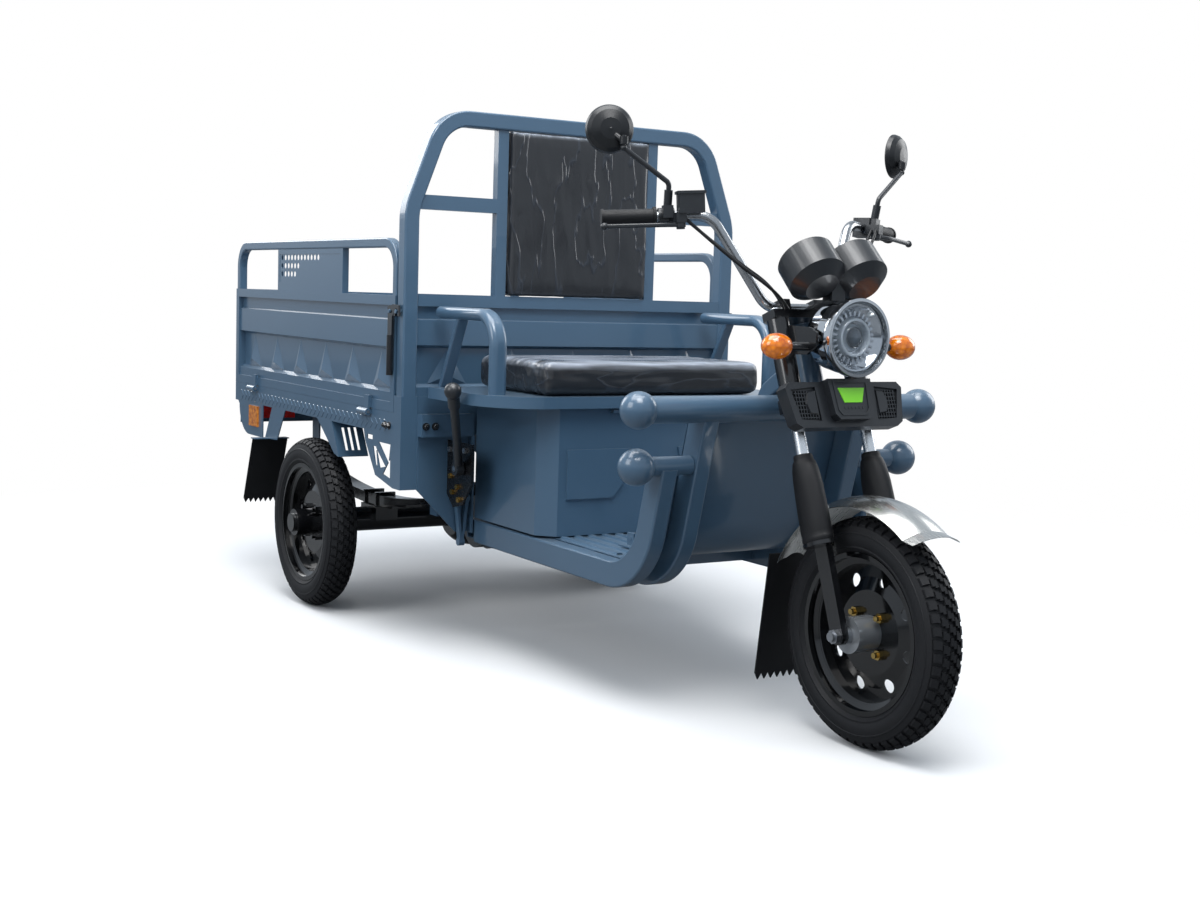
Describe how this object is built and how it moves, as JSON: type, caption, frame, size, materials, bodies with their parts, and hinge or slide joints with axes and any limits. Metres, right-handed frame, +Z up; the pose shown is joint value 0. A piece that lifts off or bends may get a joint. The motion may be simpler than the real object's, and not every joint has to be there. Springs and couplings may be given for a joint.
{
  "type": "cargo tricycle",
  "caption": "Electric cargo tricycle with a drop-sided load box, bench seat, battery box, open footwell, telescopic fork and high handlebar",
  "frame": {"origin": "On the ground below the middle of the overall box", "axes": "+X forward, +Y to the left of the rider, +Z up"},
  "size_m": [2.7455, 1.144, 1.364],
  "materials": {
    "blue_paint": "gloss blue-grey enamel",
    "black_paint": "gloss black enamel",
    "seat_vinyl": "black vinyl in clear film",
    "tyre": "new rubber",
    "rubber": "matt black rubber",
    "steel": "plain steel",
    "chrome": "bright chrome",
    "stainless": "polished sheet",
    "black_plastic": "moulded black plastic",
    "battery_case": "moulded case",
    "motor": "cast aluminium",
    "amber_lens": "amber lens",
    "red_lens": "red and amber lens",
    "clear_lens": "clear lens",
    "red_plastic": "push button"
  },
  "bodies": {
    "chassis": {"chassis_frame": "blue_paint", "footwell_frame": "blue_paint", "footwell_floor": "blue_paint", "front_shield": "blue_paint", "bumper_bars": "blue_paint", "battery_box": "blue_paint", "battery_pack": "battery_case", "cargo_bed_frame": "blue_paint", "cargo_bed_floor": "blue_paint", "headboard": "blue_paint", "roll_hoop": "blue_paint", "backrest_cushion": "seat_vinyl", "rear_mudguards": "blue_paint", "rear_mud_flaps": "rubber", "rear_lamps": "red_lens", "hinge_pins": "steel", "gear_quadrant": "black_paint"},
    "seat": {"seat_platform": "blue_paint", "seat_cushion": "seat_vinyl"},
    "right_gate": {"right_gate": "blue_paint"},
    "left_gate": {"left_gate": "blue_paint"},
    "tailgate": {"tailgate": "blue_paint"},
    "right_gate_latch": {"right_gate_latch": "black_paint"},
    "left_gate_latch": {"left_gate_latch": "black_paint"},
    "gear_lever": {"gear_lever": "black_plastic"},
    "brake_pedal": {"brake_pedal": "black_paint"},
    "brake_shaft": {"brake_shaft": "blue_paint"},
    "axle": {"rear_axle": "black_paint", "drive_motor": "motor", "leaf_springs": "black_paint"},
    "right_rear_wheel": {"right_rear_rim": "black_paint", "right_rear_tyre": "tyre"},
    "left_rear_wheel": {"left_rear_rim": "black_paint", "left_rear_tyre": "tyre"},
    "steering": {"steering_yokes": "black_paint", "fork_stanchions": "chrome", "fork_shrouds": "black_paint", "handlebar": "steel", "left_grip": "rubber", "hand_controls": "black_plastic", "instrument_cluster": "black_plastic", "headlight_bucket": "chrome", "headlight_lens": "clear_lens", "indicators": "amber_lens", "horn_panel": "black_plastic", "control_cables": "rubber"},
    "throttle": {"throttle_grip": "rubber"},
    "front_brake_lever": {"front_brake_lever": "black_plastic"},
    "rear_brake_lever": {"rear_brake_lever": "black_plastic"},
    "right_mirror": {"right_mirror": "black_plastic"},
    "left_mirror": {"left_mirror": "black_plastic"},
    "horn_button": {"horn_button": "red_plastic"},
    "fork_lower": {"fork_lower_legs": "black_paint", "fork_gaiters": "rubber", "front_mudguard": "stainless", "front_mud_flap": "rubber", "front_axle": "steel"},
    "front_wheel": {"front_rim": "black_paint", "front_tyre": "tyre", "front_hub": "steel"}
  },
  "joints": [
    {"name": "seat_tilt", "type": "hinge", "parent": "chassis", "child": "seat", "pos_m": [0.32075, 0, 0.633], "axis": [0, 1, 0], "range_deg": [0, 80]},
    {"name": "right_gate_drop", "type": "hinge", "parent": "chassis", "child": "right_gate", "pos_m": [-0.67825, -0.5175, 0.588], "axis": [1, 0, 0], "range_deg": [0, 145]},
    {"name": "left_gate_drop", "type": "hinge", "parent": "chassis", "child": "left_gate", "pos_m": [-0.67825, 0.5175, 0.588], "axis": [-1, 0, 0], "range_deg": [0, 145]},
    {"name": "tailgate_drop", "type": "hinge", "parent": "chassis", "child": "tailgate", "pos_m": [-1.36375, 0, 0.588], "axis": [0, -1, 0], "range_deg": [0, 145]},
    {"name": "right_latch_lift", "type": "hinge", "parent": "right_gate", "child": "right_gate_latch", "pos_m": [-0.13975, -0.508, 0.854], "axis": [0, -1, 0], "range_deg": [0, 60]},
    {"name": "left_latch_lift", "type": "hinge", "parent": "left_gate", "child": "left_gate_latch", "pos_m": [-0.13975, 0.508, 0.854], "axis": [0, -1, 0], "range_deg": [0, 60]},
    {"name": "gear_shift", "type": "hinge", "parent": "chassis", "child": "gear_lever", "pos_m": [0.01175, -0.391, 0.465], "axis": [0, 1, 0], "range_deg": [0, 20]},
    {"name": "pedal_press", "type": "hinge", "parent": "chassis", "child": "brake_pedal", "pos_m": [0.50175, -0.17, 0.35], "axis": [0, 1, 0], "range_deg": [0, 18], "stiffness_Nm_per_rad": 8, "springref_deg": -11.46},
    {"name": "brake_arm_pull", "type": "hinge", "parent": "chassis", "child": "brake_shaft", "pos_m": [-0.06025, -0.325, 0.38], "axis": [0, 1, 0], "range_deg": [-18, 0]},
    {"name": "rear_suspension", "type": "slide", "parent": "chassis", "child": "axle", "axis": [0, 0, 1], "range_m": [0, 0.025], "stiffness_N_per_m": 60000, "springref_m": -0.06, "deforming": ["leaf_springs"]},
    {"name": "right_rear_wheel_spin", "type": "hinge", "parent": "axle", "child": "right_rear_wheel", "pos_m": [-0.67825, -0.5, 0.24], "axis": [0, 1, 0], "continuous": true},
    {"name": "left_rear_wheel_spin", "type": "hinge", "parent": "axle", "child": "left_rear_wheel", "pos_m": [-0.67825, 0.5, 0.24], "axis": [0, 1, 0], "continuous": true},
    {"name": "steering_turn", "type": "hinge", "parent": "chassis", "child": "steering", "pos_m": [0.92256, 0, 0.69544], "axis": [-0.3453, 0, 0.9385], "range_deg": [-40, 40]},
    {"name": "fork_travel", "type": "slide", "parent": "steering", "child": "fork_lower", "axis": [-0.3453, 0, 0.9385], "range_m": [0, 0.06], "stiffness_N_per_m": 20000, "springref_m": -0.06},
    {"name": "front_wheel_spin", "type": "hinge", "parent": "fork_lower", "child": "front_wheel", "pos_m": [1.13275, 0, 0.24], "axis": [0, 1, 0], "continuous": true},
    {"name": "throttle_twist", "type": "hinge", "parent": "steering", "child": "throttle", "pos_m": [0.68275, -0.398, 1.074], "axis": [0.4254, 0.9029, 0.0608], "range_deg": [0, 70], "stiffness_Nm_per_rad": 0.4, "springref_deg": -22.92},
    {"name": "front_brake_squeeze", "type": "hinge", "parent": "steering", "child": "front_brake_lever", "pos_m": [0.78507, -0.26998, 1.06367], "axis": [0.0259, 0.055, -0.9982], "range_deg": [0, 11], "stiffness_Nm_per_rad": 6, "springref_deg": -8.59},
    {"name": "rear_brake_squeeze", "type": "hinge", "parent": "steering", "child": "rear_brake_lever", "pos_m": [0.78507, 0.26998, 1.06367], "axis": [-0.0259, 0.055, 0.9982], "range_deg": [0, 11], "stiffness_Nm_per_rad": 6, "springref_deg": -8.59},
    {"name": "right_mirror_swivel", "type": "hinge", "parent": "steering", "child": "right_mirror", "pos_m": [0.73375, -0.385, 1.218], "axis": [0, 0, 1], "range_deg": [-20, 20]},
    {"name": "left_mirror_swivel", "type": "hinge", "parent": "steering", "child": "left_mirror", "pos_m": [0.73375, 0.385, 1.218], "axis": [0, 0, 1], "range_deg": [-20, 20]},
    {"name": "horn_press", "type": "slide", "parent": "steering", "child": "horn_button", "axis": [0.9046, 0.4262, 0], "range_m": [0, 0.003], "stiffness_N_per_m": 600, "springref_m": -0.003}
  ],
  "couplings": [
    {"joint": "brake_arm_pull", "follows": "pedal_press", "ratio": -1}
  ]
}
